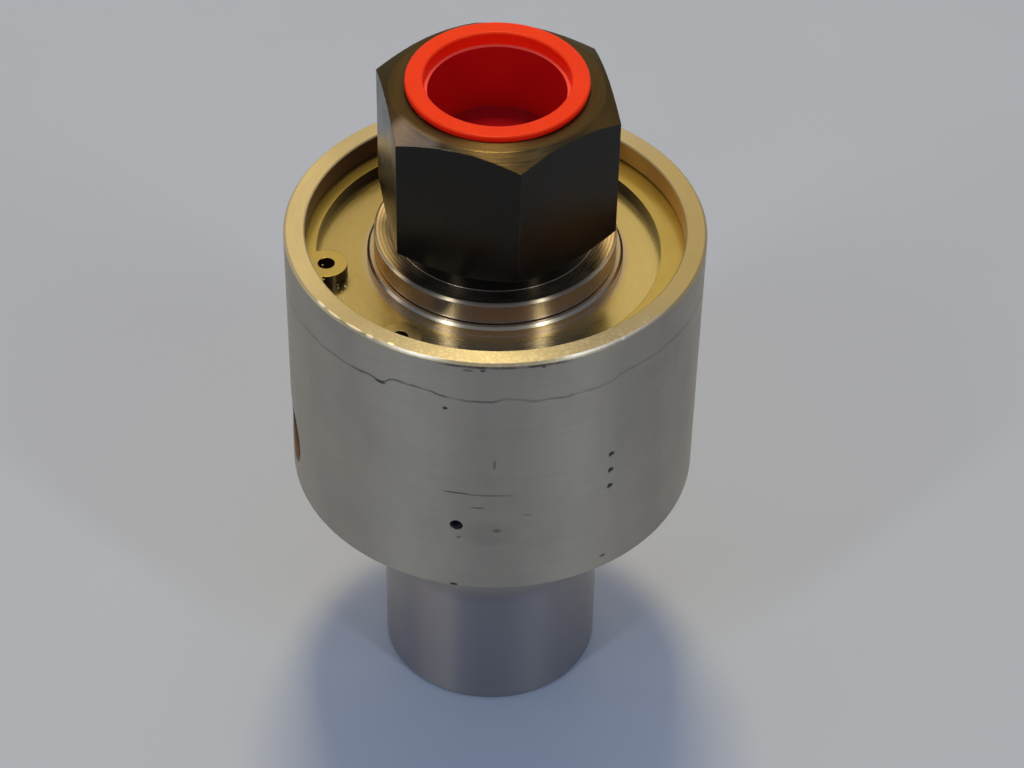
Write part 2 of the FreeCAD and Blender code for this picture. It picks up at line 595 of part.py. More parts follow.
def make_outer_ring():
    """Bearing's outer ring, with a rib between its raceways."""
    body = new_body("bearing_outer_ring")
    outer = "(%s - Sizes.seat_clearance)" % BORE_RADIUS
    relief = "(Sizes.race_relief / 2)"
    turn_outline(body, [
        (relief, BEARING_SEAT),
        (outer + " - Sizes.edge_break", BEARING_SEAT),
        (outer, BEARING_SEAT + " + Sizes.edge_break"),
        (outer, BEARING_TOP + " - Sizes.edge_break"),
        (outer + " - Sizes.edge_break", BEARING_TOP),
        (relief, BEARING_TOP),
        (relief, BEARING_MIDDLE + " + Sizes.row_offset"),
        ("Sizes.race_rib / 2", BEARING_MIDDLE + " + Sizes.row_offset"),
        ("Sizes.race_rib / 2", BEARING_MIDDLE + " - Sizes.row_offset"),
        (relief, BEARING_MIDDLE + " - Sizes.row_offset"),
    ])
    cut_raceways(body)
    return body


def make_inner_ring():
    """Bearing's inner ring, with a waist between its raceways."""
    body = new_body("bearing_inner_ring")
    bore = "(%s + Sizes.seat_clearance)" % JOURNAL_RADIUS
    shoulder = "(Sizes.inner_shoulder / 2)"
    waist = "(Sizes.inner_waist / 2)"
    turn_outline(body, [
        (bore, BEARING_SEAT),
        (shoulder, BEARING_SEAT),
        (shoulder, BEARING_MIDDLE + " - Sizes.row_offset"),
        (waist, BEARING_MIDDLE + " - Sizes.row_offset"),
        (waist, BEARING_MIDDLE + " + Sizes.row_offset"),
        (shoulder, BEARING_MIDDLE + " + Sizes.row_offset"),
        (shoulder, BEARING_TOP),
        (bore, BEARING_TOP),
    ])
    cut_raceways(body)
    return body


def make_balls(name, radius, side):
    """One row of balls on the pitch circle, or its cage's pockets when radius is larger."""
    balls = []
    for number in range(int(sizes.ball_count)):
        ball = doc.addObject("Part::Sphere", "%s_%02d" % (name, number + 1))
        turn = "(360 / Sizes.ball_count * %d)" % number
        ball.setExpression("Radius", radius)
        ball.setExpression("Placement.Base.x", "Sizes.ball_circle / 2 * cos(%s)" % turn)
        ball.setExpression("Placement.Base.y", "Sizes.ball_circle / 2 * sin(%s)" % turn)
        ball.setExpression("Placement.Base.z", "%s %s Sizes.row_offset" % (BEARING_MIDDLE, side))
        balls.append(ball)
    row = doc.addObject("Part::Compound", name)
    row.Links = balls
    row.Label = name
    return row


def make_cage(name, side):
    """Crown cage that snaps over one row of balls from the bearing's outer side."""
    wall = "Sizes.cage_wall / 2"
    reach = "Sizes.cage_mouth" if side == "+" else "Sizes.cage_back"
    ring = tube(name + "_ring", "Sizes.ball_circle / 2 + " + wall, "Sizes.ball_circle / 2 - " + wall,
                "%s %s Sizes.row_offset - %s" % (BEARING_MIDDLE, side, reach),
                "Sizes.cage_mouth + Sizes.cage_back")
    pockets = make_balls(name + "_pockets", "Sizes.ball_diameter / 2 + Sizes.pocket_clearance", side)
    cage = doc.addObject("Part::Cut", name)
    cage.Base = ring
    cage.Tool = pockets
    cage.Label = name
    return cage


def make_lock_washer():
    """Lock washer with outer teeth, and an inner tab in the rotor's keyway."""
    body = new_body("lock_washer")
    inner = "(%s + Sizes.seat_clearance)" % THREAD_RADIUS
    disc = new_sketch(body, "XY_Plane", lift=WASHER_BOTTOM)
    add_circle(disc, "Sizes.washer_diameter / 2")
    add_circle(disc, inner)
    pad(body, disc, "Sizes.washer_thickness")
    tab = new_sketch(body, "XY_Plane", lift=WASHER_BOTTOM)
    add_box_outline(tab, "%s - Sizes.keyway_depth + 4 * Sizes.seat_clearance" % THREAD_RADIUS,
                    "%s + 1" % THREAD_RADIUS, "Sizes.keyway_width - 4 * Sizes.seat_clearance")
    pad(body, tab, "Sizes.washer_thickness")
    tooth_sketch = new_sketch(body, "XY_Plane", lift=WASHER_BOTTOM)
    add_box_outline(tooth_sketch, "Sizes.washer_diameter / 2 - 1", "Sizes.tooth_circle / 2",
                    "Sizes.tooth_width")
    tooth = pad(body, tooth_sketch, "Sizes.washer_thickness")
    polar_copies(body, tooth, int(sizes.tooth_count))
    return body


def make_locknut():
    """Slotted locknut that clamps the inner ring against the rotor's shoulder."""
    body = new_body("shaft_locknut")
    bore = "(%s + Sizes.seat_clearance)" % THREAD_RADIUS
    outer = "(Sizes.nut_diameter / 2)"
    turn_outline(body, [
        (bore, NUT_BOTTOM),
        (outer + " - 2 * Sizes.edge_break", NUT_BOTTOM),
        (outer, NUT_BOTTOM + " + 2 * Sizes.edge_break"),
        (outer, WASHER_BOTTOM),
        (bore, WASHER_BOTTOM),
    ])
    slot_sketch = new_sketch(body, "XY_Plane", lift=WASHER_BOTTOM)
    add_box_outline(slot_sketch, outer + " - Sizes.nut_slot_depth", outer + " + 1",
                    "Sizes.nut_slot_width")
    slot = pocket(body, slot_sketch, "Sizes.nut_thickness")
    polar_copies(body, slot, int(sizes.nut_slot_count))
    return body


def make_guide_ring():
    """Split plastic guide ring around the rotor's tail."""
    body = new_body("guide_ring")
    inner = "(%s + Sizes.running_clearance)" % TAIL_RADIUS
    outer = "(Sizes.guide_groove_diameter / 2 - Sizes.seat_clearance)"
    bottom = GUIDE_BOTTOM + " + Sizes.seat_clearance"
    height = "(Sizes.guide_groove_width - 2 * Sizes.seat_clearance)"
    band = new_sketch(body, "XY_Plane", lift=bottom)
    add_circle(band, outer)
    add_circle(band, inner)
    pad(body, band, height)
    split = new_sketch(body, "XY_Plane", lift="%s + %s" % (bottom, height))
    add_box_outline(split, inner + " - 2", outer + " + 1", "Sizes.guide_split")
    pocket(body, split, height)
    return body


def make_seal_ring(label, bottom):
    """PTFE seal ring on the rotor's tail."""
    body = new_body(label)
    inner = "(%s + Sizes.running_clearance)" % TAIL_RADIUS
    outer = "(%s + Sizes.seal_ring_wall)" % inner
    low = "(%s + Sizes.seat_clearance)" % bottom
    high = "(%s + Sizes.seal_groove_width - Sizes.seat_clearance)" % bottom
    turn_outline(body, [
        (inner, low + " + 0.3"),
        (inner + " + 0.3", low),
        (outer, low),
        (outer, high),
        (inner + " + 0.3", high),
        (inner, high + " - 0.3"),
    ])
    return body


def make_energizer(label, bottom):
    """O-ring behind a seal ring, squeezed between it and the groove's floor."""
    inner = "(%s + Sizes.running_clearance + Sizes.seal_ring_wall)" % TAIL_RADIUS
    outer = "(Sizes.seal_groove_diameter / 2)"
    ring = doc.addObject("Part::Torus", label)
    ring.setExpression("Radius1", "(%s + %s) / 2" % (inner, outer))
    ring.setExpression("Radius2", "(%s - %s) / 2 - Sizes.seat_clearance" % (outer, inner))
    ring.setExpression("Placement.Base.z", "%s + Sizes.seal_groove_width / 2" % bottom)
    ring.Label = label
    return ring


def make_plug():
    """Shipping plug: a cup with a round-edged flange, pushed into the upper port a little askew, so
    that its flange rests on the hexagon's end face at the front only."""
    body = new_body("shipping_plug")
    flange = "(Sizes.plug_flange_diameter / 2)"
    shank = "(Sizes.plug_shank_diameter / 2)"
    top = "(%s + Sizes.plug_flange_height)" % HEX_TOP
    step_height = "(%s - Sizes.plug_step_depth)" % top
    bottom = "(%s - Sizes.plug_shank_length)" % HEX_TOP
    cup = "(%s - Sizes.plug_wall)" % shank
    lip = "(%s + Sizes.plug_step)" % cup
    lean = "Sizes.plug_lean"
    sketch = new_sketch(body, "XZ_Plane", axis=FreeCAD.Vector(1, 0, 0), turn=lean)
    sketch.setExpression("AttachmentOffset.Base.y", "%s * (1 - cos(%s)) + %s * sin(%s)" % (
        HEX_TOP, lean, flange, lean))
    sketch.setExpression("AttachmentOffset.Base.z", "%s * (1 - cos(%s)) - %s * sin(%s)" % (
        flange, lean, HEX_TOP, lean))
    add_outline(sketch, [
        ("0", bottom),
        (shank + " - Sizes.plug_taper - Sizes.edge_break", bottom),
        (shank + " - Sizes.plug_taper", bottom + " + Sizes.edge_break"),
        (shank, HEX_TOP),
        (flange, HEX_TOP),
        (flange, top),
        (lip, top),
        (lip, step_height),
        (cup, step_height),
        (cup + " - Sizes.plug_taper", bottom + " + Sizes.plug_floor"),
        ("0", bottom + " + Sizes.plug_floor"),
    ])
    base = turn_sketch(body, sketch, "Revolution")
    crown = sizes.stub_length + sizes.body_height - sizes.recess_depth + sizes.hub_height
    crown += sizes.flange_gap + sizes.flange_thickness + sizes.neck_height + sizes.hex_height
    crown += sizes.plug_flange_height
    centre = sketch.Placement.multVec(FreeCAD.Vector(0, crown, 0))
    names = []
    for number, edge in enumerate(base.Shape.Edges, start=1):
        if edge.Curve.TypeId == "Part::GeomCircle" and (edge.Curve.Center - centre).Length < 1e-3:
            names.append("Edge%d" % number)
    fillet = body.newObject("PartDesign::Fillet", "plug_edges")
    fillet.Base = (base, names)
    fillet.setExpression("Radius", "Sizes.plug_rounding")
    doc.recompute()
    return body


def check_and_export(pieces):
    """Recompute, stop at the first failed object or bad shape, then write each sub-part."""
    doc.recompute()
    for item in doc.Objects:
        for state in item.State:
            if state in ("Invalid", "Error"):
                raise RuntimeError("%s failed: %s" % (item.Label, item.getStatusString()))
    os.makedirs("parts", exist_ok=True)
    for piece in pieces:
        if piece.Shape.isNull() or not piece.Shape.isValid():
            raise RuntimeError("%s has no valid shape" % piece.Label)
        piece.Shape.exportStep("parts/%s.step" % piece.Label)
        print("%-22s %d solids, %.1f mm3" % (piece.Label, len(piece.Shape.Solids),
                                             piece.Shape.Volume))


BALL_RADIUS = "Sizes.ball_diameter / 2"
check_and_export([
    make_housing(),
    make_rotor(),
    make_cover(),
    make_cover_ring(),
    make_retaining_ring(),
    make_lip_seal(),
    make_shim(),
    make_outer_ring(),
    make_inner_ring(),
    make_balls("upper_ball_row", BALL_RADIUS, "+"),
    make_balls("lower_ball_row", BALL_RADIUS, "-"),
    make_cage("upper_ball_cage", "+"),
    make_cage("lower_ball_cage", "-"),
    make_lock_washer(),
    make_locknut(),
    make_guide_ring(),
    make_seal_ring("upper_seal_ring", UPPER_SEAL_BOTTOM),
    make_seal_ring("lower_seal_ring", LOWER_SEAL_BOTTOM),
    make_energizer("upper_seal_energizer", UPPER_SEAL_BOTTOM),
    make_energizer("lower_seal_energizer", LOWER_SEAL_BOTTOM),
    make_plug(),
])
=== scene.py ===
import bmesh
import bpy
import math
import random
from mathutils import Matrix, Vector


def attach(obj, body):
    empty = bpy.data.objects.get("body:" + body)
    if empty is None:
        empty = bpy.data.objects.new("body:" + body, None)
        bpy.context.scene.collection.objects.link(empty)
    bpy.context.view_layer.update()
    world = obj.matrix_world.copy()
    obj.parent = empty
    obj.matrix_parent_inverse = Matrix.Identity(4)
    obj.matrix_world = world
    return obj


# A hydraulic rotary union on a pale table: a grey turned housing, an oiled recess with its cover
# and retaining ring, a blackened hexagon, and a red plug.

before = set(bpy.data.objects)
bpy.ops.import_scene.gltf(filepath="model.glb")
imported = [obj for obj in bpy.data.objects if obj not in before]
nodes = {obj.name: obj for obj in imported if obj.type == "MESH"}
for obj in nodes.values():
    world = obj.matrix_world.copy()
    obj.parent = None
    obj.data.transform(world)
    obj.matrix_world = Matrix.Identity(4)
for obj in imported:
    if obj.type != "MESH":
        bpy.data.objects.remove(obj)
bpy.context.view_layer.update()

MM = 0.001

# Heights of the union's own edges, in millimetres above the table.
RIM_TOP = 109.0
RIM_EDGE = 108.45
COVER_TOP = 102.0
RING_TOP = 104.5
BORE_OPENS = 69.9
STUB_ENDS = 34.0
FLANGE_TOP = 108.52
NECK_TOP = 111.9
HEAD_MIDDLE = 120.0
CUP_STEP = 140.24
PLUG_LEAN = math.radians(2.5)
# Radii, in millimetres.
BODY_RADIUS = 40.0
RIM_EDGE_RADIUS = 39.45
GROOVE_FLOOR = 37.7
BORE_RADIUS = 36.0
HUB_RADIUS = 25.1
PORT_WALL = 16.6245
CUP_RADIUS = 13.0
SIDE_PORT_WALL = 6.5785
WEEP_RADIUS = 1.25
DOT_RADIUS = 0.8
# Bearing in degrees and height of the side port, the weep hole and the three punched dots.
SIDE_PORT = (190.0, 62.5)
WEEP_HOLE = (-99.5, 68.2)
PUNCHED_DOTS = ((-56.2, 81.3), (-56.2, 77.2), (-56.2, 73.1))

# What the lamps point at and where the camera stands, in metres, and the camera's focal length and
# the picture's width in pixels.
UNION_MIDDLE = Vector((0.0, 0.0, 0.08))
CAMERA_PLACE = (0.0, -0.4122, 0.4394)
LENS_PIXELS = 2796.0
PICTURE_WIDTH = 1024.0

# Pits, nicks and scratches on the body: bearing in degrees, height, half width and half height in
# millimetres, and how dark each one is. The last three are painted shade round the edges of the
# punched dots.
BODY_MARKS = (
    (-102.5, 97.6, 0.6, 0.5, 0.9), (-57.5, 54.9, 0.9, 0.4, 0.75), (-89.4, 84.4, 0.4, 1.6, 0.40),
    (-99.5, 76.7, 3.6, 0.25, 0.7), (-91.0, 76.5, 6.0, 0.3, 0.4), (-93.8, 73.2, 1.6, 0.25, 0.6),
    (-88.5, 67.3, 1.1, 0.7, 0.5), (-98.7, 65.1, 0.6, 0.4, 0.45), (-91.0, 66.5, 7.0, 4.0, 0.10),
    (-100.1, 52.2, 1.0, 0.5, 0.9), (-80.4, 71.1, 1.5, 0.3, 0.25), (-96.5, 107.4, 1.3, 0.4, 0.5),
    (-92.7, 107.5, 0.7, 0.4, 0.8), (-77.0, 107.8, 0.5, 0.3, 0.8), (-121.0, 99.6, 1.5, 0.5, 0.8),
    *((turn, height, 0.85, 0.75, 0.85) for turn, height in PUNCHED_DOTS))

# Nicks on the rim's outer edge, painted bright as highlights: bearing in degrees, radius, half
# length and half width in millimetres.
RIM_NICK_HIGHLIGHTS = ((-118.1, 39.2, 0.9, 0.35), (-143.0, 39.5, 1.6, 0.3), (-137.5, 39.5, 2.4, 0.22),
             (-130.0, 39.45, 2.6, 0.3), (-124.5, 39.5, 1.0, 0.35), (-54.0, 39.6, 0.5, 0.3))


# Materials


class Finish:
    """One material being put together from shader nodes, measured in millimetres on the piece."""

    def __init__(self, name):
        self.material = bpy.data.materials.new(name)
        self.material.use_nodes = True
        self.tree = self.material.node_tree
        self.tree.nodes.clear()
        output = self.add("OutputMaterial")
        self.shader = self.add("BsdfPrincipled")
        self.tree.links.new(self.shader.outputs["BSDF"], output.inputs["Surface"])
        place = self.add("TexCoord")
        self.place = self.add("VectorMath", {0: place.outputs["Object"], "Scale": 1 / MM},
                              operation="SCALE").outputs[0]
        split = self.add("SeparateXYZ", {0: self.place})
        self.x, self.y, self.height = split.outputs
        self.turn = self.sum("MULTIPLY", self.sum("ARCTAN2", self.y, self.x), math.degrees(1.0))
        flat = self.add("CombineXYZ", {"X": self.x, "Y": self.y}).outputs[0]
        self.radius = self.add("VectorMath", {0: flat}, operation="LENGTH").outputs["Value"]
        self.bearing = self.add("VectorMath", {0: flat}, operation="NORMALIZE").outputs[0]
        around = self.add("VectorMath", {0: (0.0, 0.0, 1.0), 1: self.bearing},
                          operation="CROSS_PRODUCT").outputs[0]
        self.around = self.add("VectorTransform", {0: around}, vector_type="VECTOR",
                               convert_from="OBJECT", convert_to="WORLD").outputs[0]
        up = self.add("SeparateXYZ", {0: place.outputs["Normal"]}).outputs["Z"]
        self.level = self.ramp(self.sum("ABSOLUTE", up), 0.35, 0.55)

    def add(self, kind, values=None, **settings):
        """A node with its settings and with its inputs set or linked."""
        node = self.tree.nodes.new("ShaderNode" + kind)
        for name, value in settings.items():
            setattr(node, name, value)
        for key, value in (values or {}).items():
            if isinstance(value, bpy.types.NodeSocket):
                self.tree.links.new(value, node.inputs[key])
            else:
                node.inputs[key].default_value = value
        return node

    def sum(self, operation, *values, clamp=False):
        """One step of arithmetic."""
        return self.add("Math", dict(enumerate(values)), operation=operation,
                        use_clamp=clamp).outputs[0]

    def ramp(self, value, low, high, start=0.0, end=1.0):
        """A soft step from start to end while value goes from low to high."""
        return self.add("MapRange", {"Value": value, "From Min": low, "From Max": high,
                                     "To Min": start, "To Max": end},
                        interpolation_type="SMOOTHSTEP").outputs[0]

    def inside(self, value, low, high, soft):
        """1 where value lies between low and high, with soft edges."""
        return self.sum("MULTIPLY", self.ramp(value, low - soft, low),
                        self.ramp(value, high, high + soft, 1.0, 0.0))

    def noise(self, place, detail=2.0, rough=0.5):
        return self.add("TexNoise", {"Vector": place, "Scale": 1.0, "Detail": detail,
                                     "Roughness": rough}).outputs[0]

    def blotches(self, size, detail=2.0):
        """Uneven patches about size millimetres across."""
        scaled = self.add("VectorMath", {0: self.place, "Scale": 1 / size},
                          operation="SCALE").outputs[0]
        return self.noise(scaled, detail)

    def turning(self, pitch, around, detail=1.0):
        """Lathe marks: fine across the tool's path and long around the axis."""
        path = self.sum("ADD", self.radius, self.height)
        across = self.sum("MULTIPLY", path, 1 / pitch)
        lift = self.add("CombineXYZ", {"Z": across}).outputs[0]
        turned = self.add("VectorMath", {0: self.bearing, "Scale": around},
                          operation="SCALE").outputs[0]
        place = self.add("VectorMath", {0: turned, 1: lift}, operation="ADD").outputs[0]
        return self.noise(place, detail)

    def mix(self, share, first, second):
        """Colours blended by share."""
        node = self.add("Mix", {0: share}, data_type="RGBA")
        for socket, colour in ((node.inputs[6], first), (node.inputs[7], second)):
            if isinstance(colour, bpy.types.NodeSocket):
                self.tree.links.new(colour, socket)
            else:
                socket.default_value = (*colour, 1.0)
        return node.outputs[2]

    def blend(self, share, first, second):
        """Numbers blended by share."""
        return self.add("Mix", {0: share, 2: first, 3: second}, data_type="FLOAT").outputs[0]

    def rounded(self, radius):
        """The surface's direction with its sharp edges eased by radius millimetres."""
        return self.add("Bevel", {"Radius": radius * MM}, samples=4).outputs[0]

    def wear(self, radius, strength):
        """1 on sharp edges and 0 elsewhere."""
        true = self.add("NewGeometry").outputs["Normal"]
        eased = self.rounded(radius)
        same = self.add("VectorMath", {0: eased, 1: true},
                        operation="DOT_PRODUCT").outputs["Value"]
        return self.ramp(same, 1.0 - strength, 1.0, 1.0, 0.0)

    def bump(self, marks, depth, normal=None):
        """Marks pressed into the surface, depth in millimetres."""
        values = {"Height": marks, "Distance": depth * MM, "Strength": 1.0}
        if normal is not None:
            values["Normal"] = normal
        return self.add("Bump", values).outputs[0]

    def streaks(self, width, height, detail=2.0):
        """Uneven patches of one width around the piece and another height."""
        scaled = self.add("VectorMath", {0: self.place, 1: (1 / width, 1 / width, 1 / height)},
                          operation="MULTIPLY").outputs[0]
        return self.noise(scaled, detail)

    def finish(self, colour, rough, normal=None, grooved=0.0, **fixed):
        """Close the material: its colour, its roughness, and values that are the same all over.

        Where grooved is above 0, fine lathe grooves round the axis smear the gloss across them."""
        if grooved:
            self.tree.links.new(self.around, self.shader.inputs["Tangent"])
            fixed["Anisotropic"] = grooved
            fixed["Anisotropic_Rotation"] = 0.25
        for key, value in (("Base Color", colour), ("Roughness", rough), ("Normal", normal)):
            if isinstance(value, bpy.types.NodeSocket):
                self.tree.links.new(value, self.shader.inputs[key])
            elif value is not None:
                single = (*value, 1.0) if key == "Base Color" else value
                self.shader.inputs[key].default_value = single
        for name, value in fixed.items():
            socket = self.shader.inputs[name.replace("_", " ")]
            if isinstance(value, bpy.types.NodeSocket):
                self.tree.links.new(value, socket)
            else:
                socket.default_value = value
        return self.material


def ovals(skin, across, spots, core):
    """Oval spots, 0 between them. Each has a bearing, a value of across, the radius it lies at,
    its half length and width, and a strength, which starts to fade at core of the way out."""
    most = None
    for turn, centre, radius, half_length, half_width, strength in spots:
        degrees = math.radians(radius) / half_length
        aside = skin.sum("MULTIPLY", skin.sum("SUBTRACT", skin.turn, turn), degrees)
        over = skin.sum("MULTIPLY", skin.sum("SUBTRACT", across, centre), 1 / half_width)
        away = skin.add("VectorMath", {0: skin.add("CombineXYZ", {0: aside, 1: over}).outputs[0]},
                        operation="LENGTH").outputs["Value"]
        spot = skin.ramp(away, core, 1.0, strength, 0.0)
        most = spot if most is None else skin.sum("MAXIMUM", most, spot)
    return most


def body_marks(skin):
    """The dark spots and scratches on the body's side, and the painted shade round the punched
    dots.
    """
    spots = ((turn, height, BODY_RADIUS, half_width, half_height, dark)
             for turn, height, half_width, half_height, dark in BODY_MARKS)
    outside = skin.ramp(skin.radius, BODY_RADIUS - 0.6, BODY_RADIUS - 0.3)
    return skin.sum("MULTIPLY", ovals(skin, skin.height, spots, 0.45), outside)


def rim_nick_highlights(skin):
    """Nicks on the rim, painted bright as the highlights they catch."""
    spots = ((turn, radius, radius, half_length, half_width, 1.0)
             for turn, radius, half_length, half_width in RIM_NICK_HIGHLIGHTS)
    return ovals(skin, skin.radius, spots, 0.5)


def tide_line(skin):
    """Where the oil that ran over the rim stopped: a thin dark line that wanders round the body.
    Each point has a bearing in degrees and a drop below the rim. At the back the line is level."""
    drops = ((-150, 9.6), (-144, 9.4), (-133, 9.2), (-124, 9.0), (-121, 9.3), (-117, 7.6),
             (-109, 7.8), (-99, 8.9), (-90, 9.0), (-86, 8.3), (-80, 9.1), (-57, 9.1), (-54, 8.2),
             (-40, 8.4), (-20, 9.0))
    back = 10.5
    deepest = 20.0
    share = skin.sum("MULTIPLY_ADD", skin.turn, 1 / 360, 0.5)
    curve = skin.add("FloatCurve", {"Factor": 1.0, "Value": share})
    points = curve.mapping.curves[0].points
    points[0].location = (0.0, back / deepest)
    points[1].location = (1.0, back / deepest)
    for turn, drop in drops:
        points.new(0.5 + turn / 360, drop / deepest)
    curve.mapping.update()
    line = skin.sum("MULTIPLY_ADD", curve.outputs[0], -deepest, RIM_TOP)
    waver = skin.sum("MULTIPLY_ADD", skin.blotches(3.0), 1.0, -0.5)
    line = skin.sum("ADD", line, waver)
    away = skin.sum("ABSOLUTE", skin.sum("SUBTRACT", skin.height, line))
    thin = skin.ramp(away, 0.05, 0.42, 1.0, 0.0)
    broken = skin.ramp(skin.blotches(4.5, 3.0), 0.35, 0.60, 0.45, 1.0)
    front = skin.inside(skin.x, -28.0, 12.0, 9.0)
    broken = skin.sum("MULTIPLY", broken, skin.ramp(front, 0.0, 1.0, 0.45))
    seen = skin.inside(skin.radius, BODY_RADIUS - 0.1, BODY_RADIUS + 0.1, 0.05)
    return skin.sum("MULTIPLY", skin.sum("MULTIPLY", thin, broken), seen)


def in_hole(skin, centre, wall, soft):
    """1 in a hole of radius wall, drilled toward the axis at this bearing and height."""
    turn, height = math.radians(centre[0]), centre[1]
    way = (math.cos(turn), math.sin(turn), 0.0)
    arm = skin.add("VectorMath", {0: skin.place, 1: (0.0, 0.0, height)},
                   operation="SUBTRACT").outputs[0]
    along = skin.add("VectorMath", {0: arm, 1: way}, operation="DOT_PRODUCT").outputs["Value"]
    whole = skin.add("VectorMath", {0: arm}, operation="LENGTH").outputs["Value"]
    across = skin.sum("SQRT", skin.sum("SUBTRACT", skin.sum("POWER", whole, 2.0),
                                       skin.sum("POWER", along, 2.0)))
    near = skin.ramp(across, wall + soft, wall + soft + 0.1, 1.0, 0.0)
    outer = skin.ramp(skin.radius, BODY_RADIUS - 0.3, BODY_RADIUS - 0.05, 1.0, 0.0)
    return skin.sum("MULTIPLY", skin.sum("MULTIPLY", near, outer), skin.ramp(along, 10.0, 20.0))


def housing_finish():
    """Grey turned steel outside, and steel with old oil stains on the rim and in the recess."""
    skin = Finish("housing_turned_steel")
    rim = skin.ramp(skin.height, RIM_EDGE - 0.1, RIM_EDGE + 0.15)
    bore = skin.sum("MULTIPLY", skin.ramp(skin.radius, GROOVE_FLOOR, GROOVE_FLOOR + 0.5, 1.0, 0.0),
                    skin.ramp(skin.height, BORE_OPENS - 0.2, BORE_OPENS))
    oiled = skin.sum("MAXIMUM", rim, bore)
    fine = skin.turning(0.16, 6.0)
    coarse = skin.turning(0.9, 2.5, 2.0)

    # The body's grey side, and the browner stub under it, with a painted highlight: a lighter
    # streak down the stub's left flank.
    grey = skin.mix(skin.blotches(14.0, 3.0), (0.402, 0.352, 0.262), (0.475, 0.416, 0.314))
    grey = skin.mix(skin.ramp(coarse, 0.4, 0.75, 0.0, 0.14), grey, (0.31, 0.285, 0.24))
    smudge = skin.ramp(skin.streaks(11.0, 38.0, 3.0), 0.42, 0.70, 0.0, 0.30)
    grey = skin.mix(smudge, grey, (0.31, 0.278, 0.228))
    stub = skin.mix(skin.inside(skin.x, -13.0, -9.0, 4.0), (0.335, 0.308, 0.286),
                    (0.43, 0.365, 0.315))
    grey = skin.mix(skin.ramp(skin.height, STUB_ENDS - 5.0, STUB_ENDS, 1.0, 0.0), grey, stub)

    # The oiled rim and recess: golden, partly the oil's own tint and partly painted warm
    # reflection;
    # painted lighter on the far left and darker towards the right, the front and the back; and
    # speckled in front.
    gold = skin.mix(skin.blotches(6.0, 3.0), (0.48, 0.38, 0.172), (0.59, 0.475, 0.232))
    gold = skin.mix(skin.ramp(skin.x, -10.0, 40.0, 0.0, 0.7), gold, (0.39, 0.305, 0.135))
    gold = skin.mix(skin.ramp(skin.x, -37.0, -26.0, 0.9, 0.0), gold, (0.66, 0.535, 0.28))
    painted_light_tone = skin.sum("MULTIPLY", skin.ramp(skin.sum("ABSOLUTE", skin.y), 15.0, 34.0, 0.0, 0.8),
                   skin.ramp(skin.x, -30.0, -8.0, 0.6, 1.0))
    gold = skin.mix(painted_light_tone, gold, (0.30, 0.265, 0.190))
    gold = skin.mix(skin.ramp(fine, 0.4, 0.75, 0.0, 0.15), gold, (0.36, 0.265, 0.10))
    front = skin.ramp(skin.y, -34.0, -24.0, 1.0, 0.0)
    speckle = skin.sum("MULTIPLY", skin.ramp(skin.blotches(0.7, 3.0), 0.48, 0.66, 0.0, 0.55), front)
    gold = skin.mix(speckle, gold, (0.50, 0.44, 0.28))
    gold = skin.mix(rim_nick_highlights(skin), gold, (0.95, 0.82, 0.55))
    # Oil stain with painted shade on the walls, darker towards the left; the level faces stay
    # golden.
    stain_and_shade = skin.mix(skin.ramp(skin.x, -25.0, 12.0), (0.14, 0.066, 0.030), (0.72, 0.40, 0.10))
    gold = skin.mix(skin.level, stain_and_shade, gold)
    colour = skin.mix(oiled, grey, gold)

    # The rim's outer edge with a painted highlight, the dark line under it, and painted shade in
    # the ring's groove.
    middle = skin.inside(skin.x, -7.0, 11.0, 4.0)
    edge = skin.inside(skin.radius, RIM_EDGE_RADIUS, RIM_EDGE_RADIUS + 0.25, 0.12)
    painted_edge_highlight = skin.sum("MULTIPLY", edge,
                    skin.sum("SUBTRACT", skin.ramp(skin.x, -25.0, -16.0), middle, clamp=True))
    painted_edge_highlight = skin.sum("MULTIPLY", painted_edge_highlight,
                    skin.sum("MULTIPLY", rim, skin.ramp(skin.y, -32.0, -20.0, 1.0, 0.0)))
    colour = skin.mix(skin.sum("MULTIPLY", painted_edge_highlight, 0.7), colour, (0.74, 0.68, 0.58))
    under = skin.sum("MULTIPLY", skin.inside(skin.height, RIM_EDGE - 0.45, RIM_EDGE, 0.12),
                     skin.sum("MULTIPLY", middle, front))
    under = skin.sum("MULTIPLY", under, skin.ramp(skin.blotches(3.0, 3.0), 0.35, 0.6, 0.35, 0.85))
    outside = skin.ramp(skin.radius, BODY_RADIUS - 1.0, BODY_RADIUS - 0.8)
    under = skin.sum("MULTIPLY", under, outside)
    colour = skin.mix(under, colour, (0.07, 0.055, 0.04))
    # Painted shade: the ring's groove is made nearly black.
    groove = skin.ramp(skin.radius, GROOVE_FLOOR, GROOVE_FLOOR + 0.5, 1.0, 0.0)
    groove = skin.sum("MULTIPLY", groove,
                      skin.ramp(skin.height, RIM_EDGE - 0.45, RIM_EDGE - 0.25, 1.0, 0.0))
    groove = skin.sum("MULTIPLY", groove,
                      skin.ramp(skin.radius, BORE_RADIUS + 0.02, BORE_RADIUS + 0.15))
    colour = skin.mix(skin.sum("MULTIPLY", groove, 0.85), colour, (0.06, 0.035, 0.015))

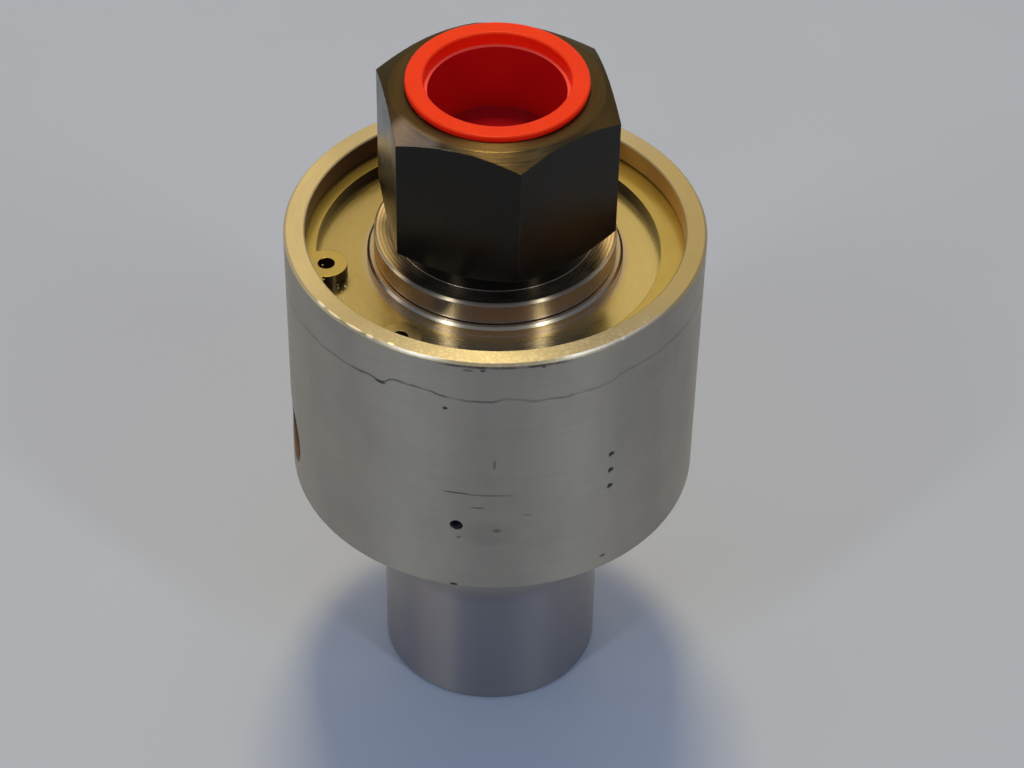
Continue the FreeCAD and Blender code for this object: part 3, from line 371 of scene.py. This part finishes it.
    # The edge of the spilt oil, the dark marks, the rusty side port with painted shade in its upper
    # part, and painted shade in the small holes.
    line = tide_line(skin)
    colour = skin.mix(skin.sum("MULTIPLY", line, 0.65), colour, (0.05, 0.045, 0.04))
    marks = body_marks(skin)
    colour = skin.mix(marks, colour, (0.035, 0.030, 0.026))
    rust = in_hole(skin, SIDE_PORT, SIDE_PORT_WALL, 0.6)
    rusty = skin.mix(skin.blotches(1.2, 4.0), (0.10, 0.048, 0.018), (0.30, 0.14, 0.045))
    shaded = skin.ramp(skin.height, SIDE_PORT[1] - 5.0, SIDE_PORT[1] - 1.5)
    rusty = skin.mix(shaded, rusty, (0.030, 0.024, 0.014))
    colour = skin.mix(rust, colour, rusty)
    painted_hole_shade = in_hole(skin, WEEP_HOLE, WEEP_RADIUS, 0.1)
    for dot in PUNCHED_DOTS:
        painted_hole_shade = skin.sum("MAXIMUM", painted_hole_shade, in_hole(skin, dot, DOT_RADIUS, 0.1))
    colour = skin.mix(painted_hole_shade, colour, (0.010, 0.008, 0.007))
    dull = skin.sum("MAXIMUM", rust, painted_hole_shade)

    # The gloss, and the lathe's grooves with the marks pressed into them.
    rough = skin.blend(oiled, skin.ramp(skin.blotches(9.0, 3.0), 0.2, 0.8, 0.47, 0.57),
                       skin.ramp(fine, 0.2, 0.8, 0.43, 0.49))
    rough = skin.blend(skin.ramp(skin.height, STUB_ENDS - 3.0, STUB_ENDS - 0.5, 1.0, 0.0), rough,
                       0.43)
    rough = skin.blend(dull, rough, 0.75)
    grooves = skin.sum("ADD", skin.sum("MULTIPLY", fine, 0.6), skin.sum("MULTIPLY", coarse, 0.4))
    cut = skin.bump(grooves, 0.006, skin.rounded(0.15))
    flaws = skin.sum("SUBTRACT", 1.0, skin.sum("MAXIMUM", marks, skin.sum("MULTIPLY", line, 0.4)))
    normal = skin.bump(flaws, 0.12, cut)
    return skin.finish(colour, rough, normal, grooved=0.74,
                       Metallic=skin.sum("SUBTRACT", 1.0, dull), Coat_Weight=0.08,
                       Coat_Roughness=0.25)


def rotor_finish():
    """Blackened hexagon with turned chamfers, a dark neck, and an oiled bronze-toned flange."""
    skin = Finish("rotor_blackened_steel")
    above_flange = skin.ramp(skin.height, FLANGE_TOP, FLANGE_TOP + 0.1)
    above_neck = skin.ramp(skin.height, NECK_TOP, NECK_TOP + 0.1)
    fine = skin.turning(0.14, 5.0)
    coarse = skin.turning(0.8, 1.5, 2.0)

    # The flange: bronze-toned, partly its own tint and partly painted warm reflection, with darker
    # rings.
    bronze = skin.mix(skin.blotches(5.0, 2.0), (0.76, 0.55, 0.26), (0.90, 0.68, 0.35))
    bronze = skin.mix(skin.ramp(coarse, 0.45, 0.75, 0.0, 0.2), bronze, (0.38, 0.26, 0.12))
    rings = skin.sum("SINE", skin.sum("MULTIPLY_ADD", skin.radius, 9.5, skin.blotches(9.0)))
    bronze = skin.mix(skin.ramp(rings, 0.1, 0.9, 0.0, 0.55), bronze, (0.26, 0.165, 0.075))

    # The head: black, brownish on its turned faces, with a painted highlight at one corner of its
    # turned top, and with wear on its edges that also serves as painted edge highlights.
    black = skin.mix(skin.blotches(8.0, 3.0), (0.0032, 0.0027, 0.0022), (0.0065, 0.0054, 0.0044))
    turned = skin.mix(coarse, (0.050, 0.033, 0.013), (0.102, 0.067, 0.028))
    painted_corner_highlight = skin.sum("MULTIPLY", skin.inside(skin.turn, -145.0, -126.0, 9.0),
                      skin.ramp(skin.radius, 18.5, 20.5))
    turned = skin.mix(skin.sum("MULTIPLY", painted_corner_highlight, 0.75), turned, (0.40, 0.29, 0.19))
    turned_zone = skin.sum("MULTIPLY", skin.level,
                           skin.ramp(skin.height, HEAD_MIDDLE, HEAD_MIDDLE + 1.0))
    head = skin.mix(turned_zone, black, turned)
    wear_and_edge_highlight = skin.sum("MULTIPLY", skin.wear(0.35, 0.12), skin.ramp(skin.blotches(2.5, 4.0), 0.4, 0.7))
    head = skin.mix(skin.sum("MULTIPLY", wear_and_edge_highlight, above_neck), head, (0.10, 0.08, 0.05))

    # The flange is painted darker in front, as a reflection of the dark head, and its walls are
    # browner and lighter on the left, as a painted reflection.
    bronze = skin.mix(skin.ramp(skin.y, -17.5, -9.0, 0.8, 0.0), bronze, (0.12, 0.085, 0.06))
    walls = skin.mix(skin.ramp(skin.x, -21.0, -8.0), (0.80, 0.53, 0.29), (0.50, 0.405, 0.33))
    bronze = skin.mix(skin.level, walls, bronze)
    colour = skin.mix(above_flange, bronze, head)
    in_port = skin.ramp(skin.radius, PORT_WALL + 0.05, PORT_WALL + 0.15, 1.0, 0.0)
    in_port = skin.sum("MULTIPLY", in_port, above_neck)
    colour = skin.mix(in_port, colour, (0.36, 0.31, 0.24))

    # Bare metal on the turned faces, in the port, on the flange and on edges with wear.
    metal = skin.sum("MAXIMUM", skin.sum("MAXIMUM", turned_zone, in_port),
                     skin.sum("SUBTRACT", 1.0, above_flange))
    metal = skin.sum("MAXIMUM", metal, wear_and_edge_highlight)
    turned_rough = skin.blend(skin.level, 0.26, skin.ramp(fine, 0.2, 0.8, 0.24, 0.34))
    black_rough = skin.ramp(skin.blotches(7.0, 3.0), 0.2, 0.8, 0.16, 0.26)
    rough = skin.blend(metal, black_rough, turned_rough)
    marks = skin.sum("MULTIPLY", skin.sum("ADD", fine, coarse), metal)
    normal = skin.bump(marks, 0.007, skin.rounded(0.25))
    return skin.finish(colour, rough, normal, grooved=0.85, Metallic=metal,
                       Specular_IOR_Level=0.28, Specular_Tint=(0.80, 0.70, 0.55, 1.0))


def oiled_metal(name, dark, light, groove, wall, rough=(0.20, 0.30), pitch=0.2, coat=0.3,
                grooved=0.7, wall_rough=0.4, painted_light_tone=None, pale=None):
    """Turned steel under a thin film of old oil, browner on the wall faces than on the level faces,
    whose gold is partly the oil's tint and partly painted warm reflection, and painted lighter on
    the right as light where a colour is given for it. A pale colour goes on the hub in the middle
    and on the front."""
    skin = Finish(name)
    fine = skin.turning(pitch, 5.0)
    coarse = skin.turning(pitch * 6, 2.0, 2.0)
    colour = skin.mix(skin.blotches(7.0, 3.0), dark, light)
    colour = skin.mix(skin.ramp(coarse, 0.4, 0.75, 0.0, 0.12), colour, groove)
    # Painted light: lighter towards the right.
    if painted_light_tone:
        colour = skin.mix(skin.ramp(skin.x, 5.0, 30.0, 0.0, 0.55), colour, painted_light_tone)
    if pale:
        hub = skin.ramp(skin.radius, HUB_RADIUS - 0.5, HUB_RADIUS + 0.5, 1.0, 0.0)
        near = skin.sum("MAXIMUM", hub, skin.ramp(skin.y, -29.0, -21.0, 0.6, 0.0))
        colour = skin.mix(near, colour, pale)
    colour = skin.mix(skin.level, wall, colour)
    roughness = skin.blend(skin.level, wall_rough, skin.ramp(fine, 0.2, 0.8, *rough))
    normal = skin.bump(skin.sum("ADD", fine, coarse), 0.004, skin.rounded(0.2))
    return skin.finish(colour, roughness, normal, grooved=grooved, Metallic=1.0,
                       Coat_Weight=coat, Coat_Roughness=0.1)


def bare_metal(name, dark, light, rough, pitch=0.12, depth=0.006):
    """Ground or turned steel, clean and free of oil."""
    skin = Finish(name)
    fine = skin.turning(pitch, 4.0)
    colour = skin.mix(skin.blotches(6.0, 3.0), dark, light)
    colour = skin.mix(skin.ramp(fine, 0.4, 0.8, 0.0, 0.25), colour, dark)
    roughness = skin.ramp(fine, 0.2, 0.8, rough * 0.8, rough * 1.3)
    return skin.finish(colour, roughness, skin.bump(fine, depth), Metallic=1.0)


def moulded(name, dark, light, rough, size=1.5, depth=0.02, **fixed):
    """Rubber or plastic from a mould, with a faint grain."""
    skin = Finish(name)
    grain = skin.blotches(size * 0.25, 3.0)
    colour = skin.mix(skin.blotches(size * 4, 3.0), dark, light)
    roughness = skin.ramp(grain, 0.2, 0.8, rough * 0.85, rough * 1.2)
    return skin.finish(colour, roughness, skin.bump(grain, depth), **fixed)


def plug_finish():
    """Red-orange soft plastic, a little translucent, with faint flow marks of the mould."""
    skin = Finish("plug_red_plastic")
    flow = skin.blotches(9.0, 2.0)
    colour = skin.mix(flow, (0.62, 0.024, 0.002), (0.70, 0.034, 0.003))
    level = skin.sum("MULTIPLY_ADD", skin.y, -math.tan(PLUG_LEAN), skin.height)
    in_cup = skin.ramp(skin.radius, CUP_RADIUS - 0.1, CUP_RADIUS + 0.1, 1.0, 0.0)
    cup = skin.sum("MULTIPLY", in_cup, skin.ramp(level, CUP_STEP - 0.15, CUP_STEP + 0.1, 1.0, 0.0))
    # Painted glow: the walls are a brighter, purer red, as if lit through the thin plastic.
    colour = skin.mix(skin.level, (1.0, 0.016, 0.003), colour)
    # Painted shade: inside the cup it is darker, on its floor darker than on its walls.
    shade = skin.mix(skin.level, (0.50, 0.005, 0.005), (0.31, 0.005, 0.008))
    colour = skin.mix(cup, colour, shade)
    # Painted highlight: a thin light line along the cup's step.
    near_cup = skin.ramp(skin.radius, CUP_RADIUS + 0.3, CUP_RADIUS + 0.5, 1.0, 0.0)
    step = skin.inside(level, CUP_STEP - 0.10, CUP_STEP - 0.02, 0.05)
    lit_step = skin.sum("MULTIPLY", skin.sum("MULTIPLY", near_cup, step), 0.7)
    colour = skin.mix(lit_step, colour, (1.0, 0.12, 0.08))
    grain = skin.blotches(0.5, 2.0)
    rough = skin.blend(cup, skin.ramp(skin.blotches(2.5, 3.0), 0.2, 0.8, 0.26, 0.38), 0.16)
    normal = skin.bump(grain, 0.008, skin.rounded(0.25))
    return skin.finish(colour, rough, normal, Subsurface_Weight=0.08,
                       Subsurface_Radius=(1.0, 0.15, 0.05), Subsurface_Scale=0.002,
                       Specular_IOR_Level=0.10, Specular_Tint=(1.0, 0.75, 0.6, 1.0))


def dress(node, material):
    """Give a CAD node its finish."""
    slots = nodes[node].data.materials
    slots.clear()
    slots.append(material)


# Pieces made here


def keep_piece(name, bm, material, body):
    """Turn a bmesh into a piece of the union, riding on its body."""
    mesh = bpy.data.meshes.new(name)
    bm.to_mesh(mesh)
    bm.free()
    mesh.materials.append(material)
    for polygon in mesh.polygons:
        polygon.use_smooth = True
    piece = bpy.data.objects.new(name, mesh)
    bpy.context.scene.collection.objects.link(piece)
    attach(piece, body)
    return piece


def thread_ridge(wall, depth, pitch, bottom, top, steps=56):
    """The ridge of an inside thread: its section wound up a helix, trimmed level at both ends."""
    root = wall + 0.03
    crest = wall - depth
    half_root = pitch * 0.47
    half_crest = pitch * 0.12
    start = bottom - pitch
    turns = math.ceil((top - bottom) / pitch) + 2
    bm = bmesh.new()
    section = [bm.verts.new((across * MM, 0.0, (start + up) * MM))
               for across, up in ((root, -half_root), (crest, -half_crest),
                                  (crest, half_crest), (root, half_root))]
    face = bm.faces.new(section)
    bmesh.ops.spin(bm, geom=[face, *face.edges, *face.verts], axis=(0.0, 0.0, 1.0),
                   cent=(0.0, 0.0, 0.0), dvec=(0.0, 0.0, pitch * MM / steps),
                   angle=2 * math.pi * turns, steps=steps * turns, use_merge=False)
    for level, way in ((bottom, -1.0), (top, 1.0)):
        everything = [*bm.verts, *bm.edges, *bm.faces]
        cut = bmesh.ops.bisect_plane(bm, geom=everything, plane_co=(0.0, 0.0, level * MM),
                                     plane_no=(0.0, 0.0, way), clear_outer=True)
        rim = [item for item in cut["geom_cut"] if isinstance(item, bmesh.types.BMEdge)]
        bmesh.ops.holes_fill(bm, edges=rim, sides=0)
    bmesh.ops.recalc_face_normals(bm, faces=bm.faces)
    return bm


def add_threads(steel):
    """The threads of both end ports and of the side port."""
    g1 = dict(wall=PORT_WALL, depth=1.479, pitch=2.309)
    bm = thread_ridge(bottom=1.6, top=18.6, **g1)
    keep_piece("lower_port_thread", bm, steel, "housing")
    bm = thread_ridge(bottom=122.4, top=139.6, **g1)
    keep_piece("upper_port_thread", bm, steel, "rotor")
    bm = thread_ridge(wall=SIDE_PORT_WALL, depth=0.856, pitch=1.337, bottom=30.2, top=38.3,
                      steps=40)
    turn = (Matrix.Rotation(math.radians(SIDE_PORT[0]), 4, "Z")
            @ Matrix.Rotation(math.pi / 2, 4, "Y"))
    lift = Matrix.Translation((0.0, 0.0, SIDE_PORT[1] * MM))
    bmesh.ops.transform(bm, matrix=lift @ turn, verts=bm.verts)
    keep_piece("side_port_thread", bm, steel, "housing")


def oil_drops(oil):
    """Small beads of oil left on the cover, on the ring's lug and on the rim. Each group has its
    bearing, its radius, the height it lies at, how many beads it has, and how far they spread."""
    groups = (
        (-152, 32.0, COVER_TOP, 26, 4.2), (-128, 33.0, COVER_TOP, 18, 3.6),
        (-168, 28.5, COVER_TOP, 10, 3.0), (-168, 34.0, RING_TOP, 8, 2.0),
        (-140, 38.0, RIM_TOP, 10, 1.2), (-114, 38.4, RIM_TOP, 5, 0.9), (-45, 38.6, RIM_TOP, 4, 0.8))
    kept_between = {COVER_TOP: (25.2, 35.4), RIM_TOP: (36.8, 39.2)}
    rng = random.Random(7)
    spots = []
    for turn, radius, height, count, spread in groups:
        for _ in range(count):
            angle = math.radians(turn + rng.gauss(0.0, spread) * 2.0)
            away = radius + rng.gauss(0.0, spread * 0.35)
            size = rng.uniform(0.08, 0.20)
            if height in kept_between:
                nearest, farthest = kept_between[height]
                away = min(max(away, nearest), farthest)
            spots.append((away * math.cos(angle), away * math.sin(angle), height, size))
    bm = bmesh.new()
    for x, y, z, size in spots:
        squat = Matrix.Diagonal((1.0, rng.uniform(0.8, 1.2), rng.uniform(0.35, 0.55), 1.0))
        place = Matrix.Translation((x * MM, y * MM, z * MM))
        bmesh.ops.create_icosphere(bm, subdivisions=1, radius=size * MM, matrix=place @ squat)
    keep_piece("oil_drops", bm, oil, "housing")


def oil_finish():
    """Beads of yellowish oil that catch the light, pale and opaque as a painted glint."""
    skin = Finish("oil_beads")
    colour = skin.mix(skin.blotches(1.0), (0.52, 0.43, 0.22), (0.70, 0.60, 0.36))
    rough = skin.ramp(skin.blotches(0.4), 0.2, 0.8, 0.06, 0.14)
    return skin.finish(colour, rough, None, Specular_IOR_Level=0.9)


# The table, the light and the camera


def add_table():
    """A pale laminated table with a hardly visible mottle."""
    bm = bmesh.new()
    bmesh.ops.create_grid(bm, x_segments=2, y_segments=2, size=3.0)
    bmesh.ops.translate(bm, vec=(0.0, 0.0, -0.0001), verts=bm.verts)
    mesh = bpy.data.meshes.new("table_top")
    bm.to_mesh(mesh)
    bm.free()
    table = bpy.data.objects.new("table_top", mesh)
    bpy.context.scene.collection.objects.link(table)
    skin = Finish("table_laminate")
    colour = skin.mix(skin.blotches(70.0, 4.0), (0.332, 0.352, 0.384), (0.352, 0.372, 0.408))
    rough = skin.ramp(skin.blotches(25.0, 3.0), 0.2, 0.8, 0.42, 0.52)
    mesh.materials.append(skin.finish(colour, rough, None, Specular_IOR_Level=0.35))


def add_lamp(name, place, size, power, colour):
    """A soft rectangular lamp at place, in metres, pointing at the middle of the union."""
    light = bpy.data.lights.new(name, "AREA")
    light.shape = "RECTANGLE"
    light.size, light.size_y = size
    light.energy = power
    light.color = colour
    lamp = bpy.data.objects.new(name, light)
    lamp.location = place
    lamp.rotation_euler = (UNION_MIDDLE - Vector(place)).to_track_quat("-Z", "Y").to_euler()
    lamp.visible_camera = False
    bpy.context.scene.collection.objects.link(lamp)


def sky_ramp(tree, height, stops):
    """A colour for each height above the table's plane, from level to straight up."""
    ramp = tree.nodes.new("ShaderNodeValToRGB")
    tree.links.new(height, ramp.inputs["Fac"])
    elements = ramp.color_ramp.elements
    elements[0].position, elements[0].color = stops[0][0], (*stops[0][1], 1.0)
    elements[1].position, elements[1].color = stops[-1][0], (*stops[-1][1], 1.0)
    for position, colour in stops[1:-1]:
        elements.new(position).color = (*colour, 1.0)
    return ramp.outputs["Color"]


def add_light():
    """A bright warm wall and ceiling behind the union, cool dimmer daylight in front of it, a warm
    lamp overhead and three cool windows."""
    world = bpy.data.worlds.new("room")
    bpy.context.scene.world = world
    world.use_nodes = True
    tree = world.node_tree
    tree.nodes.clear()
    output = tree.nodes.new("ShaderNodeOutputWorld")
    background = tree.nodes.new("ShaderNodeBackground")
    way = tree.nodes.new("ShaderNodeSeparateXYZ")
    tree.links.new(tree.nodes.new("ShaderNodeTexCoord").outputs["Generated"], way.inputs[0])
    front = sky_ramp(tree, way.outputs["Z"], (
        (0.0, (0.20, 0.24, 0.36)), (0.35, (0.15, 0.22, 0.42)), (0.56, (0.15, 0.21, 0.40)),
        (0.74, (0.24, 0.25, 0.32)), (1.0, (0.13, 0.21, 0.44))))
    behind = sky_ramp(tree, way.outputs["Z"], (
        (0.0, (0.24, 0.30, 0.44)), (0.42, (0.32, 0.34, 0.40)), (0.54, (0.50, 0.45, 0.38)),
        (0.66, (0.92, 0.80, 0.57)), (0.82, (0.80, 0.69, 0.50)), (1.0, (0.25, 0.26, 0.30))))
    share = tree.nodes.new("ShaderNodeMapRange")
    share.interpolation_type = "SMOOTHSTEP"
    share.inputs["From Min"].default_value = 0.22
    share.inputs["From Max"].default_value = 0.60
    tree.links.new(way.outputs["Y"], share.inputs["Value"])
    mix = tree.nodes.new("ShaderNodeMix")
    mix.data_type = "RGBA"
    for socket, source in ((0, share.outputs[0]), (6, front), (7, behind)):
        tree.links.new(source, mix.inputs[socket])
    tree.links.new(mix.outputs[2], background.inputs["Color"])
    tree.links.new(background.outputs[0], output.inputs["Surface"])
    background.inputs["Strength"].default_value = 1.45
    daylight = (0.74, 0.86, 1.0)
    add_lamp("ceiling_lamp", (-0.03, 0.38, 1.28), (0.22, 0.22), 9.8, (1.0, 0.84, 0.49))
    add_lamp("window_left", (-0.88, -0.91, 1.12), (0.12, 0.7), 5.6, daylight)
    add_lamp("window_right", (0.90, -0.89, 1.12), (0.12, 0.7), 5.4, daylight)
    add_lamp("window_side", (-1.35, 0.10, 0.75), (0.3, 0.6), 1.0, (0.90, 0.92, 1.0))


def add_camera():
    """The photograph's view: from in front and 42 degrees down, through a long lens."""
    yaw, pitch, roll = 0.009, 0.7326, 0.0198  # radians
    flat = math.cos(pitch)
    ahead = Vector((math.sin(yaw) * flat, math.cos(yaw) * flat, -math.sin(pitch)))
    level = Vector((math.cos(yaw), -math.sin(yaw), 0.0))
    upright = level.cross(ahead)
    right = math.cos(roll) * level + math.sin(roll) * upright
    above = -math.sin(roll) * level + math.cos(roll) * upright
    data = bpy.data.cameras.new("camera")
    data.sensor_width = 36.0
    data.lens = LENS_PIXELS / PICTURE_WIDTH * data.sensor_width
    data.clip_start = 0.01
    camera = bpy.data.objects.new("camera", data)
    turned = Matrix((right, above, -ahead)).transposed().to_4x4()
    camera.matrix_world = Matrix.Translation(CAMERA_PLACE) @ turned
    bpy.context.scene.collection.objects.link(camera)
    bpy.context.scene.camera = camera


thread_steel = oiled_metal("thread_steel", (0.34, 0.29, 0.22), (0.44, 0.38, 0.29),
                           (0.20, 0.16, 0.11), (0.34, 0.29, 0.22))
ground_steel = bare_metal("ground_bearing_steel", (0.52, 0.52, 0.53), (0.64, 0.64, 0.65), 0.14)
satin_steel = bare_metal("satin_steel", (0.40, 0.40, 0.40), (0.52, 0.52, 0.51), 0.34, 0.2, 0.012)
rubber = moulded("black_rubber", (0.018, 0.018, 0.018), (0.032, 0.031, 0.030), 0.55)
brass = bare_metal("cage_brass", (0.58, 0.40, 0.15), (0.72, 0.54, 0.24), 0.30, 0.3, 0.012)
bronze_filled = moulded("bronze_filled_ptfe", (0.22, 0.13, 0.07), (0.36, 0.24, 0.13), 0.42, 0.8)
guide_plastic = moulded("guide_plastic", (0.50, 0.43, 0.30), (0.62, 0.55, 0.40), 0.45, 1.0)
FINISHES = {
    "housing": housing_finish(),
    "rotor_shaft": rotor_finish(),
    "bearing_cover": oiled_metal("cover_oiled_steel", (0.32, 0.24, 0.072), (0.40, 0.305, 0.10),
                                 (0.27, 0.20, 0.060), (0.56, 0.42, 0.28), pitch=0.25, coat=0.4,
                                 rough=(0.23, 0.29), grooved=0.6, wall_rough=0.28,
                                 painted_light_tone=(0.54, 0.43, 0.17), pale=(0.375, 0.295, 0.180)),
    "cover_retaining_ring": oiled_metal("ring_oiled_spring_steel", (0.34, 0.250, 0.052),
                                        (0.43, 0.320, 0.076), (0.26, 0.19, 0.040),
                                        (0.060, 0.032, 0.016), pitch=0.18, coat=0.35,
                                        rough=(0.28, 0.34), grooved=0.45,
                                        pale=(0.42, 0.31, 0.195)),
    "cover_o_ring": rubber,
    "shaft_lip_seal": rubber,
    "preload_shim": satin_steel,
    "bearing_outer_ring": ground_steel,
    "bearing_inner_ring": ground_steel,
    "upper_ball_row": ground_steel,
    "lower_ball_row": ground_steel,
    "upper_ball_cage": brass,
    "lower_ball_cage": brass,
    "lock_washer": satin_steel,
    "shaft_locknut": satin_steel,
    "guide_ring": guide_plastic,
    "upper_seal_ring": bronze_filled,
    "lower_seal_ring": bronze_filled,
    "upper_seal_energizer": rubber,
    "lower_seal_energizer": rubber,
    "shipping_plug": plug_finish(),
}
for part, finish in FINISHES.items():
    dress(part, finish)
add_threads(thread_steel)
oil_drops(oil_finish())
add_table()
add_light()
add_camera()
bpy.context.scene.view_settings.view_transform = "Standard"
